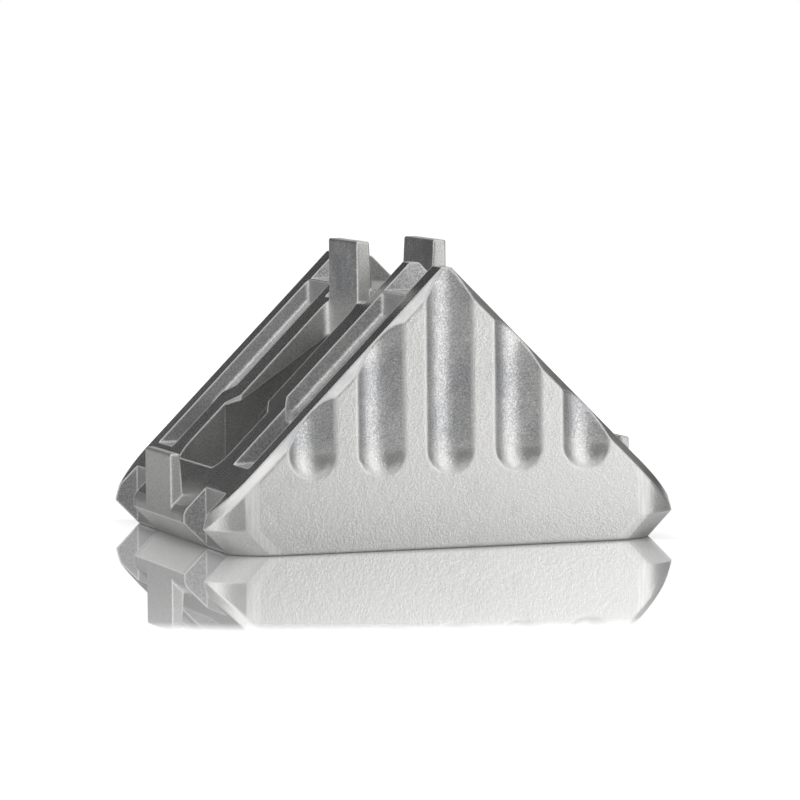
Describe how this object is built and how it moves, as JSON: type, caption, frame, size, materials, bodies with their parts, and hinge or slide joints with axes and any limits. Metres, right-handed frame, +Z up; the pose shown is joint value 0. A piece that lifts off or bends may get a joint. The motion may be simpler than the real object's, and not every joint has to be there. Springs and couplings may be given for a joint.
{
  "type": "t slot corner bracket",
  "caption": "Triangular die-cast corner bracket for slotted aluminium profile, with faces at a right angle, bolt openings, alignment lugs and fluted side walls.",
  "frame": {"origin": "centre of the bounding box on the plane of the open base", "axes": "+Z up, square to the base, towards the crest where the two mounting faces meet; +X along the base, from one toe to the other; +Y along the crest, from side face to side face"},
  "size_m": [0.0546, 0.043, 0.0331],
  "materials": {
    "cast_aluminium": "as cast, tumbled"
  },
  "bodies": {
    "root": {"bracket_body": "cast_aluminium"}
  },
  "joints": []
}
